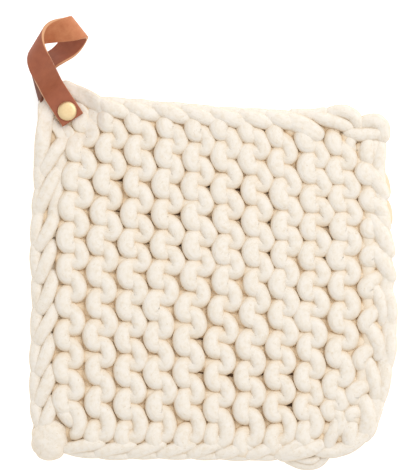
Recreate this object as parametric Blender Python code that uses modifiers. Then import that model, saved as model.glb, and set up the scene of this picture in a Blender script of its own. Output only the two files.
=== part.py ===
# Knitted cotton pot holder with a riveted leather hanging loop.
#
# The mat lies flat with its underside at z = 0 and the origin at the middle of
# that underside. X runs across the mat, Y runs up it towards the corner that
# carries the leather loop, Z is up. All sizes are in metres.

from math import cos, pi, radians, sin

import bmesh
import bpy
import numpy as np

# ---- the mat
MAT_HALF = 0.100                  # half the width, the scale of the insets below
MAT_THICK = 0.0155                # two layers of the thick yarn
OUTLINE_POINTS = 200
STITCH_PITCH = 0.0170             # one stitch along a chained edge
LEFT_BULGE = 0.0010               # how far each chain stitch bulges on the left
LEFT_CHAIN = (-0.080, 0.080)      # y range of that chain
LOWER_BULGE = 0.0006
LOWER_CHAIN = (-0.075, 0.030)     # x range of the lower chain

# the yarn knot at the lower left corner
KNOT_X = -0.0895
KNOT_Y = -0.0856
KNOT_RADII = (0.0098, 0.0110, 0.0084)

# ---- leather and brass
STRAP_WIDTH = 0.0134
STRAP_THICK = 0.0018
STRAP_LENGTH = 0.1666
STRAP_END = 0.0056                # from a hole's centre to the square-cut end
STRAP_HEADING = radians(123.3)    # the way the front leg leaves the rivet
STRAP_STEPS = 120
STRAP_LANES = 3

RIVET_X = -0.0794
RIVET_Y = 0.0916
CAP_RADIUS = 0.0052
CAP_THICK = 0.0018
BACK_CAP_THICK = 0.0012
POST_RADIUS = 0.0017
HOLE_RADIUS = 0.0020
ROUND_STEPS = 32

# ---- levels at the rivet, upwards from the mat's underside
GAP = 0.0003                      # clearance between pieces that touch
BACK_CAP_LOW = 0.0003
BACK_CAP_HIGH = BACK_CAP_LOW + BACK_CAP_THICK
BACK_STRAP_LOW = BACK_CAP_HIGH + GAP
PINCH_LOW = BACK_STRAP_LOW + STRAP_THICK + GAP
PINCH_HIGH = PINCH_LOW + 0.0064   # the knit is squeezed to this by the rivet
FRONT_STRAP_LOW = PINCH_HIGH + GAP
FRONT_CAP_LOW = FRONT_STRAP_LOW + STRAP_THICK + GAP

# the squeezed places run from the rivet out under each leg of the strap
PINCH_CORE = 0.0100
PINCH_FADE = 0.0200
PINCH_BEHIND = 0.0040
PINCH_AHEAD = 0.0200
BACK_LEG_HEADING = radians(151.5)

# where the strap turns under the corner the knit rides up over it
TURN_X = -0.0925
TURN_Y = 0.0935
TURN_REACH = 0.0100
TURN_LIFT = 0.0048

# the outline of the mat, side by side, as (x, y)
SIDES = {
    "lower edge": ((-0.0834, -0.0945), (-0.0402, -0.0961), (-0.0003, -0.0967), (0.0354, -0.0969)),
    "loose loop": ((0.0440, -0.0991), (0.0532, -0.1026), (0.0597, -0.0986)),
    "lower right": ((0.0667, -0.0959), (0.0791, -0.0907), (0.0883, -0.0778), (0.0937, -0.0632)),
    "right edge": ((0.0986, -0.0437), (0.0999, -0.0200), (0.0972, 0.0005), (0.0967, 0.0178),
                   (0.0934, 0.0383), (0.0921, 0.0626), (0.0923, 0.0751)),
    "upper right": ((0.0956, 0.0848), (0.0910, 0.0902), (0.0818, 0.0888), (0.0721, 0.0940)),
    "upper edge": ((0.0597, 0.0923), (0.0213, 0.0945), (-0.0078, 0.0961), (-0.0402, 0.0980),
                   (-0.0618, 0.1010), (-0.0805, 0.1068)),
    "upper left": ((-0.0860, 0.1050), (-0.0905, 0.0990)),
    "left edge": ((-0.0959, 0.0848), (-0.0977, 0.0653), (-0.0980, 0.0221), (-0.0986, -0.0265),
                  (-0.0986, -0.0535), (-0.0967, -0.0707)),
    "lower left": ((-0.0926, -0.0859),),
}

# the section of the mat from the middle of its underside, round the rim, to
# the middle of its top: how far in from the outline, and how high
RIM = (
    # inset, height as a share of the thickness
    (0.0600, 0.00),
    (0.0380, 0.00),
    (0.0250, 0.00),
    (0.0170, 0.00),
    (0.0110, 0.00),
    (0.0062, 0.00),
    (0.0026, 0.08),
    (0.0006, 0.26),
    (0.0000, 0.50),
    (0.0006, 0.74),
    (0.0026, 0.92),
    (0.0062, 1.00),
    (0.0110, 1.00),
    (0.0170, 1.00),
    (0.0250, 1.00),
    (0.0380, 1.00),
    (0.0600, 1.00),
)

# the caps' sections from the axis outwards and down
FRONT_CAP = (
    # radius and height, as shares of the cap's own
    (0.00, 1.00),
    (0.50, 0.92),
    (0.80, 0.74),
    (1.00, 0.42),
    (1.00, 0.00),
)
BACK_CAP = (
    # radius and height, as shares of the cap's own
    (0.00, 1.00),
    (0.94, 1.00),
    (1.00, 0.75),
    (1.00, 0.42),
    (0.77, 0.00),
    (0.00, 0.00),
)

# the bends of the strap, from its front end to its back end. A bend starts
# where its line crosses the middle of the strip; the slant is the line's angle
# to the strip, the radius is to the middle of the leather, and a positive turn
# goes away from the smooth side.
BENDS = (
    # start, slant, radius, turn
    (0.0110, 97.9, 0.0120, -63.8),
    (0.0417, 129.1, 0.0058, 230.7),
    (0.0774, 62.9, 0.0046, -151.4),
    (0.0987, 123.1, 0.0081, -82.8),
    (0.1159, 97.3, 0.0120, 63.4),
    (0.1362, 46.4, 0.0043, 122.9),
)


def clear_scene():
    for item in list(bpy.data.objects):
        bpy.data.objects.remove(item, do_unlink=True)


def new_collection(name):
    group = bpy.data.collections.new(name)
    bpy.context.scene.collection.children.link(group)
    return group


def new_material(name, colour, roughness, metallic=0.0):
    mat = bpy.data.materials.new(name)
    mat.use_nodes = True
    shader = mat.node_tree.nodes["Principled BSDF"]
    shader.inputs["Base Color"].default_value = (*colour, 1.0)
    shader.inputs["Roughness"].default_value = roughness
    shader.inputs["Metallic"].default_value = metallic
    return mat


def add_object(name, bm, group, mat=None):
    mesh = bpy.data.meshes.new(name)
    bm.to_mesh(mesh)
    bm.free()
    obj = bpy.data.objects.new(name, mesh)
    group.objects.link(obj)
    if mat:
        mesh.materials.append(mat)
    return obj


def as_cutter(obj):
    obj.hide_render = True
    obj.display_type = 'WIRE'


def add_boolean(obj, other, operation):
    boolean = obj.modifiers.new(operation.lower(), 'BOOLEAN')
    boolean.operation = operation
    boolean.object = other


def smooth_loop(corners, count):
    """Closed Catmull-Rom curve through the corners, as evenly spaced points."""
    here = np.array(corners)
    before, after, beyond = (np.roll(here, n, axis=0) for n in (1, -1, -2))
    t = np.linspace(0.0, 1.0, 16, endpoint=False)[:, None, None]
    curve = 0.5 * (2.0 * here + (after - before) * t
                   + (2.0 * before - 5.0 * here + 4.0 * after - beyond) * t ** 2
                   + (3.0 * here - before - 3.0 * after + beyond) * t ** 3)
    dense = curve.transpose(1, 0, 2).reshape(-1, 2)
    closed = np.vstack([dense, dense[:1]])
    run = np.concatenate([[0.0], np.cumsum(np.hypot(*np.diff(closed, axis=0).T))])
    at = np.linspace(0.0, run[-1], count, endpoint=False)
    return np.column_stack([np.interp(at, run, closed[:, k]) for k in (0, 1)])


def smoothstep(value):
    part = min(max(value, 0.0), 1.0)
    return part * part * (3.0 - 2.0 * part)


def mat_outline():
    """The outline with the small bulges of the chained left and lower edges."""
    corners = [point for side in SIDES.values() for point in side]
    outline = smooth_loop(corners, OUTLINE_POINTS)
    x, y = outline.copy().T
    on_left = (x < -0.9 * MAT_HALF) & (y > LEFT_CHAIN[0]) & (y < LEFT_CHAIN[1])
    on_lower = (y < -0.9 * MAT_HALF) & (x > LOWER_CHAIN[0]) & (x < LOWER_CHAIN[1])
    outline[:, 0] -= on_left * LEFT_BULGE * np.cos(2.0 * pi * y / STITCH_PITCH)
    outline[:, 1] -= on_lower * LOWER_BULGE * np.cos(2.0 * pi * x / STITCH_PITCH)
    return outline


def squeeze(x, y, heading):
    """1 beside the rivet and under the leg that leaves it this way, 0 clear of both."""
    along = (x - RIVET_X) * cos(heading) + (y - RIVET_Y) * sin(heading)
    across = (y - RIVET_Y) * cos(heading) - (x - RIVET_X) * sin(heading)
    beyond = along - min(max(along, -PINCH_BEHIND), PINCH_AHEAD)
    distance = (beyond ** 2 + across ** 2) ** 0.5
    return smoothstep((PINCH_FADE - distance) / (PINCH_FADE - PINCH_CORE))


def ride_up(x, y):
    distance = ((x - TURN_X) ** 2 + (y - TURN_Y) ** 2) ** 0.5
    return TURN_LIFT * smoothstep(2.0 - 2.0 * distance / TURN_REACH)


def mat_height(x, y, share):
    low = PINCH_LOW * squeeze(x, y, BACK_LEG_HEADING) + ride_up(x, y)
    high = MAT_THICK + (PINCH_HIGH - MAT_THICK) * squeeze(x, y, STRAP_HEADING)
    return low + share * (high - low)


def build_mat(group, cutters, mat, hole):
    """A loft of the outline: one ring for each row of RIM, closed in the middle."""
    outline = mat_outline()
    bm = bmesh.new()
    edges = []
    for inset, share in RIM:
        scale = 1.0 - inset / MAT_HALF
        ring = [bm.verts.new((x, y, mat_height(x, y, share))) for x, y in outline * scale]
        edges.append([bm.edges.new((a, b)) for a, b in zip(ring, ring[1:] + ring[:1])])
    for lower, upper in zip(edges, edges[1:]):
        bmesh.ops.bridge_loops(bm, edges=lower + upper)
    for ends in (edges[0], edges[-1]):
        cap = bmesh.ops.contextual_create(bm, geom=ends)["faces"]
        bmesh.ops.poke(bm, faces=cap)
    bmesh.ops.recalc_face_normals(bm, faces=bm.faces)
    obj = add_object("mat", bm, group, mat)
    obj.data.shade_smooth()
    add_boolean(obj, build_knot(cutters), 'UNION')
    add_boolean(obj, hole, 'DIFFERENCE')


def build_knot(cutters):
    """The fat round end of the yarn, sitting on the table at the corner."""
    bm = bmesh.new()
    bmesh.ops.create_uvsphere(bm, u_segments=24, v_segments=12, radius=1.0)
    for vert in bm.verts:
        vert.co = (KNOT_X + KNOT_RADII[0] * vert.co.x,
                   KNOT_Y + KNOT_RADII[1] * vert.co.y,
                   KNOT_RADII[2] * (1.0 + vert.co.z) + GAP)
    knot = add_object("knot", bm, cutters)
    as_cutter(knot)
    return knot


def build_hole(cutters):
    """The hole punched through both ends of the strap and pushed through the knit."""
    bm = bmesh.new()
    bmesh.ops.create_cone(bm, cap_ends=True, segments=ROUND_STEPS, depth=2.0 * MAT_THICK,
                          radius1=HOLE_RADIUS, radius2=HOLE_RADIUS)
    bmesh.ops.translate(bm, verts=bm.verts, vec=(RIVET_X, RIVET_Y, MAT_THICK / 2.0))
    hole = add_object("rivet_hole", bm, cutters)
    as_cutter(hole)
    return hole


def bend_strip(along, across):
    """Carries points of the flat strip through every bend, the last bend first.

    Up to a bend's line the strip stays flat, inside the bend it is wrapped on a
    cylinder whose axis is the line, and past it the rest is carried round whole.
    """
    point = np.column_stack([along, across, np.zeros_like(along)])
    for start, slant, radius, turn in reversed(BENDS):
        line = np.array([cos(radians(slant)), sin(radians(slant)), 0.0])
        ahead = np.array([line[1], -line[0], 0.0])
        side = 1.0 if turn > 0.0 else -1.0
        centre = np.array([start, 0.0, -side * radius])
        past = (along - start) * ahead[0] + across * ahead[1]
        wrapped = np.clip(past, 0.0, radius * abs(radians(turn)))
        angle = side * wrapped / radius
        arm = point - np.outer(wrapped, ahead) - centre
        lift = arm[:, 2]
        reach = arm @ ahead
        point = (centre + np.outer(arm @ line, line)
                 + np.outer(reach * np.cos(angle) + lift * np.sin(angle), ahead)
                 + np.outer(lift * np.cos(angle) - reach * np.sin(angle), (0.0, 0.0, 1.0)))
    return point


def place_strip(along, across):
    """The bent strip with its front hole on the rivet, leaving it by the heading."""
    local = bend_strip(along, across) - (STRAP_END, 0.0, 0.0)
    x = RIVET_X + local[:, 0] * cos(STRAP_HEADING) - local[:, 1] * sin(STRAP_HEADING)
    y = RIVET_Y + local[:, 0] * sin(STRAP_HEADING) + local[:, 1] * cos(STRAP_HEADING)
    z = FRONT_STRAP_LOW + STRAP_THICK / 2.0 + local[:, 2]
    return np.column_stack([x, y, z])


def strap_surface(along, across):
    """The middle of the leather. The hair's breadth by which the back hole
    misses the rivet is shared out smoothly along the second half."""
    back_hole = place_strip(np.array([STRAP_LENGTH - STRAP_END]), np.array([0.0]))[0]
    seat = (RIVET_X, RIVET_Y, BACK_STRAP_LOW + STRAP_THICK / 2.0)
    part = np.clip(2.0 * along / STRAP_LENGTH - 1.0, 0.0, 1.0)
    share = part ** 2 * (3.0 - 2.0 * part)
    return place_strip(along, across) + np.outer(share, seat - back_hole)


def build_strap(group, mat, hole):
    bm = bmesh.new()
    bmesh.ops.create_grid(bm, x_segments=STRAP_STEPS, y_segments=STRAP_LANES, size=0.5)
    flat = np.array([vert.co for vert in bm.verts])
    folded = strap_surface((flat[:, 0] + 0.5) * STRAP_LENGTH, flat[:, 1] * STRAP_WIDTH)
    for vert, place in zip(bm.verts, folded):
        vert.co = place
    obj = add_object("strap", bm, group, mat)
    obj.data.shade_smooth()
    leather = obj.modifiers.new("thickness", 'SOLIDIFY')
    leather.thickness = STRAP_THICK
    leather.offset = 0.0
    leather.use_even_offset = True
    add_boolean(obj, hole, 'DIFFERENCE')


def build_turned(name, profile, group, mat):
    """A body of revolution about the rivet's axis, its profile given top to bottom."""
    bm = bmesh.new()
    verts = [bm.verts.new((radius, 0.0, height)) for radius, height in profile]
    for a, b in zip(verts, verts[1:]):
        bm.edges.new((a, b))
    obj = add_object(name, bm, group, mat)
    obj.location = (RIVET_X, RIVET_Y, 0.0)
    turn = obj.modifiers.new("turn", 'SCREW')
    turn.steps = ROUND_STEPS
    turn.render_steps = ROUND_STEPS
    turn.use_merge_vertices = True
    turn.merge_threshold = 0.00001


def build_rivet_front(group, mat):
    """Low domed cap on the front with its post down through the corner."""
    post_end = BACK_CAP_HIGH + GAP
    dome = [(r * CAP_RADIUS, FRONT_CAP_LOW + h * CAP_THICK) for r, h in FRONT_CAP]
    post = [(POST_RADIUS, FRONT_CAP_LOW), (POST_RADIUS, post_end), (0.0, post_end)]
    build_turned("rivet_front", dome + post, group, mat)


def build_rivet_back(group, mat):
    """Flat cap that closes the post on the back."""
    profile = [(r * CAP_RADIUS, BACK_CAP_LOW + h * BACK_CAP_THICK) for r, h in BACK_CAP]
    build_turned("rivet_back", profile, group, mat)


def build_pot_holder():
    clear_scene()
    group = new_collection("pot_holder")
    cutters = new_collection("cutters")
    cotton = new_material("cotton", (0.86, 0.80, 0.69), 0.95)
    leather = new_material("leather", (0.42, 0.16, 0.08), 0.55)
    brass = new_material("brass", (0.86, 0.68, 0.35), 0.30, 1.0)
    hole = build_hole(cutters)
    build_mat(group, cutters, cotton, hole)
    build_strap(group, leather, hole)
    build_rivet_front(group, brass)
    build_rivet_back(group, brass)


build_pot_holder()
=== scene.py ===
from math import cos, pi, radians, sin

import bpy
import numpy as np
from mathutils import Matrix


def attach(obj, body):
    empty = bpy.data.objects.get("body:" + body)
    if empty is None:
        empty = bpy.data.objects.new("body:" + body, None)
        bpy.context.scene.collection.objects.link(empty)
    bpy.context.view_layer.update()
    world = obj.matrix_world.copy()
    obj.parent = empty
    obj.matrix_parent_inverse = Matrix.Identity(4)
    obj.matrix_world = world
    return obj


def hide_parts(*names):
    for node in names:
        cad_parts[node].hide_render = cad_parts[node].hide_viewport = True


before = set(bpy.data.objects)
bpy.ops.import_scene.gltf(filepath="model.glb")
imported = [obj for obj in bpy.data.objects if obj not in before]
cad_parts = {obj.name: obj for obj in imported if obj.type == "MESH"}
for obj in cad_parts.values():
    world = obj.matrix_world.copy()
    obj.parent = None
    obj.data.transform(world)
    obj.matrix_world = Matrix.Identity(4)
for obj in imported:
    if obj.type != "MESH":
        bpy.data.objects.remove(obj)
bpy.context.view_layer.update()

# Knitted cotton pot holder with a riveted leather loop, lying flat, seen from
# straight above. Metres, in the CAD's frame: X across the mat, Y up the knitted
# columns, Z up. The knitting runs in courses up the picture, two to a ridge.

millimetre = 0.001
rng = np.random.default_rng(41)

# the mat that the yarn fills, as in the CAD
mat = {
    "thick": 0.0155,
    "middle": 0.00775,
    "flat": (0.2, 0.2),  # its size laid flat
    "rivet": (-0.0794, 0.0916),
    "pinchLow": 0.0039,  # the squeezed knit at the rivet, from here ...
    "pinchHigh": 0.0103,  # ... up to here
    "pinchCore": 0.0100,  # fully squeezed within this of a leg's line ...
    "pinchFade": 0.0200,  # ... and not at all beyond this
    "behind": 0.0040,  # it follows a leg from this far behind the rivet ...
    "ahead": 0.0200,  # ... to this far ahead of it
    "frontHeading": radians(123.3),
    "backHeading": radians(151.5),
    # where the back leg turns in under the mat: place, reach (at its full lift within half of it), lift
    "turn": (-0.0925, 0.0935),
    "turnReach": 0.0100,
    "turnLift": 0.0048,
}


def smoothstep(value):
    # 3v^2 - 2v^3, level at 0 and at 1
    part = np.clip(value, 0.0, 1.0)
    return part * part * (3.0 - 2.0 * part)


def rising(value, span):
    # from 0 at the span's start to 1 a length later
    start, length = span
    return smoothstep((value - start) / length)


def falling(value, span):
    # from 1 a length before the span's end to 0 at the end
    end, length = span
    return smoothstep((end - value) / length)


def squeeze(x, y, heading):
    # 1 beside the rivet and under the leg that leaves it this way, 0 clear of both
    dx = x - mat["rivet"][0]
    dy = y - mat["rivet"][1]
    along = dx * cos(heading) + dy * sin(heading)
    across = dy * cos(heading) - dx * sin(heading)
    beyond = along - np.clip(along, -mat["behind"], mat["ahead"])
    distance = np.hypot(beyond, across)
    return smoothstep((mat["pinchFade"] - distance) / (mat["pinchFade"] - mat["pinchCore"]))


def matHeight(x, y, z):
    # a height in the free mat, moved between the low and high faces that it has at this place:
    # low + share of the thickness * (high - low)
    away = np.hypot(x - mat["turn"][0], y - mat["turn"][1])
    lift = mat["turnLift"] * smoothstep(2.0 - 2.0 * away / mat["turnReach"])
    low = mat["pinchLow"] * squeeze(x, y, mat["backHeading"]) + lift
    press = squeeze(x, y, mat["frontHeading"])
    high = mat["thick"] + (mat["pinchHigh"] - mat["thick"]) * press
    share = z / mat["thick"]
    share = share + (np.clip(share, 0.0, 1.0) - share) * press
    return low + share * (high - low)


# where the stitches lie, in millimetres: one row for every second stitch down a
# ridge, one column for every second ridge
stitches = {
    "x": ((-71.6, -44.0, -13.2, 15.9, 47.8, 78.6),
          (-80.2, -46.7, -14.9, 18.1, 49.4, 81.3),
          (-82.4, -49.4, -13.8, 18.6, 47.8, 81.3),
          (-83.4, -50.5, -19.2, 15.4, 47.2, 80.2),
          (-84.0, -51.0, -18.6, 12.7, 45.6, 73.2),
          (-84.0, -50.5, -18.6, 12.7, 45.6, 66.7)),
    "y": ((80.5, 78.8, 75.1, 74.5, 69.1, 66.4),
          (48.6, 44.8, 42.7, 40.0, 36.7, 36.2),
          (14.6, 12.4, 10.3, 7.6, 4.3, 5.9),
          (-21.1, -21.6, -22.7, -25.9, -28.1, -30.8),
          (-56.2, -58.3, -58.9, -60.5, -59.9, -69.1),
          (-89.1, -92.3, -93.4, -95.6, -95.0, -96.7)),
    "step": 2.0,  # ridges or rows from one entry to the next
    "furthest": (-0.95, 5.95),  # places are read from here to here, counted in entries
}
addedEntries = 2  # carried on past each end of a table


def runOn(table):
    # the table with more rows and columns at each end, carried straight on: 2 last - last but one
    for axis in (0, 1):
        for _ in range(addedEntries):
            table = np.moveaxis(table, axis, 0)
            before = 2 * table[:1] - table[1:2]
            after = 2 * table[-1:] - table[-2:-1]
            table = np.moveaxis(np.concatenate([before, table, after]), 0, axis)
    return table


def splineWeights(position):
    # Catmull-Rom: the first of four neighbours and the weight of each
    first = np.floor(position)
    f = position - first
    weights = 0.5 * np.stack([-f + 2 * f ** 2 - f ** 3, 2 - 5 * f ** 2 + 3 * f ** 3,
                              f + 4 * f ** 2 - 3 * f ** 3, f ** 3 - f ** 2])
    return first.astype(int) - 1, weights


stitchTables = [runOn(np.array(stitches[key])) * millimetre for key in ("x", "y")]

# places where the knitting is pulled a little aside: middle, reach and pull, in millimetres
pulls = (
    ((-61.8, 91.3), 35.0, (-4.3, -0.5)),
    ((-73.7, 70.7), 19.0, (-1.6, 0.0)),
    ((66.7, -90.2), 33.5, (3.2, 8.6)),
)


def stitchPlace(ridge, row):
    # x and y of a place in the knitting: the sum of 4 x 4 entries round it, each times its
    # two weights, then moved by the pulls
    least, most = stitches["furthest"]
    i, across = splineWeights(np.clip(ridge / stitches["step"], least, most) + addedEntries)
    k, down = splineWeights(np.clip((row - 1.0) / stitches["step"], least, most) + addedEntries)
    place = []
    for table in stitchTables:
        total = 0.0
        for a in range(4):
            for b in range(4):
                total = total + down[a] * across[b] * table[k + a, i + b]
        place.append(total)
    x, y = place
    for middle, reach, pull in pulls:
        away = np.hypot(x - middle[0] * millimetre, y - middle[1] * millimetre)
        share = smoothstep(1.0 - away / (reach * millimetre))
        place[0] = place[0] + share * pull[0] * millimetre
        place[1] = place[1] + share * pull[1] * millimetre
    return place


def smoothPath(points, count):
    # Catmull-Rom through the points, evenly spaced in their numbering and ended just short of the last
    points = np.array(points, dtype=float)
    padded = np.vstack([2 * points[0] - points[1], points, 2 * points[-1] - points[-2]])
    lastPosition = len(points) - 1.000001
    position = np.linspace(0.0, lastPosition, count) + 1.0
    first, weights = splineWeights(position)
    return sum(weights[a][:, None] * padded[first + a] for a in range(4))


def wander(count, steps, size):
    # random values that change smoothly along a yarn, one new value every few steps
    knots = rng.normal(0.0, size, count // steps + 2)
    at = np.arange(count) / steps
    first = at.astype(int)
    blend = smoothstep(at - first)
    return knots[first] * (1.0 - blend) + knots[first + 1] * blend


# the yarn and the loops that its courses make
yarn = {
    "radius": 0.00445,
    "flat": 0.92,  # height of the yarn's section over its width
    "sides": 14,
    "steps": 32,  # rings to a stitch
    # pairs: a loop's foot, its head
    "bulge": (0.13, 0.17),  # how far it closes on itself ...
    "lastBulge": (0.06, 0.17),  # ... in the last ridge
    "square": (0.80, 0.85),  # less than 1: straighter bumps
    "rise": (0.0037, 0.0033),  # from the middle of the mat to the yarn's line
    "lean": (0.35, 0.12),  # how far the top of each bump is shifted down its loop
    "headSwing": 0.66,  # how far a course's loops reach to each side, in ridges
    "footSwing": 0.44,
    "shift": -0.05,  # of all rows
    "footSwell": 0.0006,  # extra radius of the feet
    "edge": 0.75,  # less than 1: flatter on top, steeper between
    "full": 0.0066,  # from the middle of the mat, untouched up to here
    "headSlant": 0.30,
    "looseHead": 0.02,  # the lower rows are knitted looser: smaller swing of the heads ...
    "looseFoot": 0.0003,  # ... and a smaller radius of the feet
    "looseRows": (4.0, 3.0),  # ... from this row on, fully so this many rows later
    "ridges": 11,
    "top": 0.30,  # rows at which a course starts and ends
    "bottom": 10.80,
    "lastTop": 1.12,  # the last purl course starts lower
    "shortRidges": (0, 9, 10),  # purl courses that end higher ...
    "shortBottom": 10.05,
    "firstBottom": 10.22,  # ... as the first knit course does, beside the knot
    "sinkTop": (0.40, 0.16),  # the first bump rises from under the band: row, length
    "sinkBottom": (10.76, 0.24),
    "thinner": 0.30,  # beside the dark holes, as a share
    "thinnerReach": 0.0045,
    "lastHead": 0.27,  # the lowest heads are longer by this, in rows ...
    "lastHeadFrom": (9.92, 0.30),  # ... from this row, fully so this much later ...
    "lastHeadUntil": (10.62, 0.26),  # ... and until this row, less and less this long before
    "outerSwing": 0.15,  # how far the loops reach out of the first and the last ridge
    "lastRise": 0.0012,  # height of the last knit course, which the edge covers
    "lastSlant": 0.22,  # the last ridge's bumps lean more and more ...
    "lastSlantRows": (2.8, 2.0),  # ... from this row on, fully so this many rows later
    # unevenness: rings from one new value to the next, size in ridges, rows, metres and metres
    "unevenAcross": (28, 0.034),
    "unevenRow": (32, 0.032),
    "unevenHeight": (16, 0.0002),
    "unevenRadius": (24, 0.0002),
    "roundEnd": 0.9,  # length of a yarn's rounded end, over its radius
    "bluntEnd": 0.02,  # least share of the radius at its tip, squared
    "nextPattern": 0.37,  # metres that the fibres' pattern moves from one yarn to the next
    # the least depth value gives the deepest painted shade on the courses' hidden sides
    "leastShown": 0.3,  # of the colour's depth value, at the courses' hidden sides
}


def footToHead(key, head):
    # the foot's value where head is 0, the head's where it is 1
    foot, top = yarn[key]
    return foot + (top - foot) * head


def powered(wave, exponent):
    # |wave|^exponent with the wave's own sign
    return np.sign(wave) * np.abs(wave) ** exponent


def ringFaces(rings, sides):
    # quads from each ring of points to the next, and triangles to the two tips that follow them
    a = np.arange((rings - 1) * sides).reshape(rings - 1, sides)
    b = np.roll(a, -1, axis=1)
    quads = np.stack([a, b, b + sides, a + sides], axis=-1).reshape(-1, 4)
    first = np.arange(sides)
    last = first + (rings - 1) * sides
    tip = np.full(sides, rings * sides)
    tips = np.concatenate([np.stack([np.roll(first, -1), first, tip], axis=-1),
                           np.stack([last, np.roll(last, -1), tip + 1], axis=-1)])
    return quads, tips


def tube(path, radius, sides, flat=1.0):
    # a ring round every point of the path: centre + radius (cos a, to the side; sin a, up),
    # drawn in to a point at both ends; "shown" is 1/2 at the sides and 1 on top and below.
    # Side x up points back along the path, so a tube's faces point inwards.
    tangent = np.gradient(path, axis=0)
    tangent /= np.linalg.norm(tangent, axis=1)[:, None]
    side = np.cross(tangent, (0.0, 0.0, 1.0))
    side /= np.linalg.norm(side, axis=1)[:, None] + 1e-12
    up = np.cross(side, tangent)
    count = len(path)
    run = np.concatenate([[0.0], np.cumsum(np.linalg.norm(np.diff(path, axis=0), axis=1))])
    radius = np.broadcast_to(radius, (count,))
    fromEnd = np.minimum(run, run[-1] - run)
    closing = np.clip(fromEnd / (yarn["roundEnd"] * radius), 0.0, 1.0)
    drawn = radius * np.sqrt(np.clip(1.0 - (1.0 - closing) ** 2, yarn["bluntEnd"], 1.0))
    angle = np.linspace(0.0, 2.0 * pi, sides, endpoint=False)
    c = np.cos(angle)[None, :, None]
    s = np.sin(angle)[None, :, None]
    rings = path[:, None] + drawn[:, None, None] * (c * side[:, None] + flat * s * up[:, None])
    verts = np.concatenate([rings.reshape(-1, 3), path[:1], path[-1:]])
    quads, tips = ringFaces(count, sides)
    fibre = np.empty((count, sides, 3))
    fibre[..., 0] = radius[:, None] * np.cos(angle)
    fibre[..., 1] = radius[:, None] * np.sin(angle)
    fibre[..., 2] = run[:, None]
    fibre = np.vstack([fibre.reshape(-1, 3), (0.0, 0.0, 0.0), (0.0, 0.0, run[-1])])
    # painted shade: the shown value is lower at the sides, which the material darkens
    shown = np.append(np.tile(0.5 + 0.5 * np.abs(np.sin(angle)), count), (0.5, 0.5))
    return verts, quads, tips, fibre, shown


def yarnPiece(name, tubes, material, byHeight=False):
    # One mesh of several tubes, pressed where the mat is pressed. Past "full" its height over
    # the mat's middle is full + room tanh(over / room), which never passes the mat's faces.
    verts, quads, tips, fibre, shown = [], [], [], [], []
    start = 0
    for number, (v, q, t, f, s) in enumerate(tubes):
        verts.append(v)
        quads.append(q + start)
        tips.append(t + start)
        fibre.append(f + (0.0, 0.0, yarn["nextPattern"] * number))
        shown.append(s)
        start += len(v)
    verts, quads, tips = np.concatenate(verts), np.concatenate(quads), np.concatenate(tips)
    fibre, shown = np.concatenate(fibre), np.concatenate(shown)
    out = verts[:, 2] - mat["middle"]
    over = np.clip(np.abs(out) - yarn["full"], 0.0, None)
    room = mat["middle"] - yarn["full"]
    out = np.sign(out) * (np.abs(out) - over + room * np.tanh(over / room))
    verts[:, 2] = mat["middle"] + out
    # painted shade: the deeper a point lies in the mat, the lower its depth value and the darker its
    # colour
    if byHeight:
        shown = np.maximum(np.abs(out) / mat["middle"], yarn["leastShown"])
    verts[:, 2] = matHeight(verts[:, 0], verts[:, 1], verts[:, 2])
    return meshObject(name, verts, [quads, tips], material, {"fibre": fibre}, {"shown": shown})


def addObject(name, data):
    obj = bpy.data.objects.new(name, data)
    bpy.context.scene.collection.objects.link(obj)
    return obj


def meshObject(name, verts, faceSets, material, vectors=None, values=None):
    # a smooth mesh from points and sets of faces, with its values for the material
    mesh = bpy.data.meshes.new(name)
    loops = np.concatenate([faces.ravel() for faces in faceSets])
    sizes = np.concatenate([np.full(len(faces), faces.shape[1]) for faces in faceSets])
    mesh.vertices.add(len(verts))
    mesh.vertices.foreach_set("co", verts.ravel())
    mesh.loops.add(len(loops))
    mesh.loops.foreach_set("vertex_index", loops)
    mesh.polygons.add(len(sizes))
    mesh.polygons.foreach_set("loop_start", np.concatenate([[0], np.cumsum(sizes)[:-1]]))
    mesh.polygons.foreach_set("use_smooth", np.ones(len(sizes), dtype=bool))
    mesh.update(calc_edges=True)
    for key, data in (vectors or {}).items():
        mesh.attributes.new(key, 'FLOAT_VECTOR', 'POINT').data.foreach_set("vector", data.ravel())
    for key, data in (values or {}).items():
        mesh.attributes.new(key, 'FLOAT', 'POINT').data.foreach_set("value", data.ravel())
    mesh.validate()
    mesh.materials.append(material)
    return addObject(name, mesh)


def holePlaces():
    # ridge and row of every hole: its stitch's own, and the hole's place from it
    return np.array([(ridge + inside["hole"][0], row + inside["hole"][1])
                     for ridge, rows in inside["open"].items() for row in rows])


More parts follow.
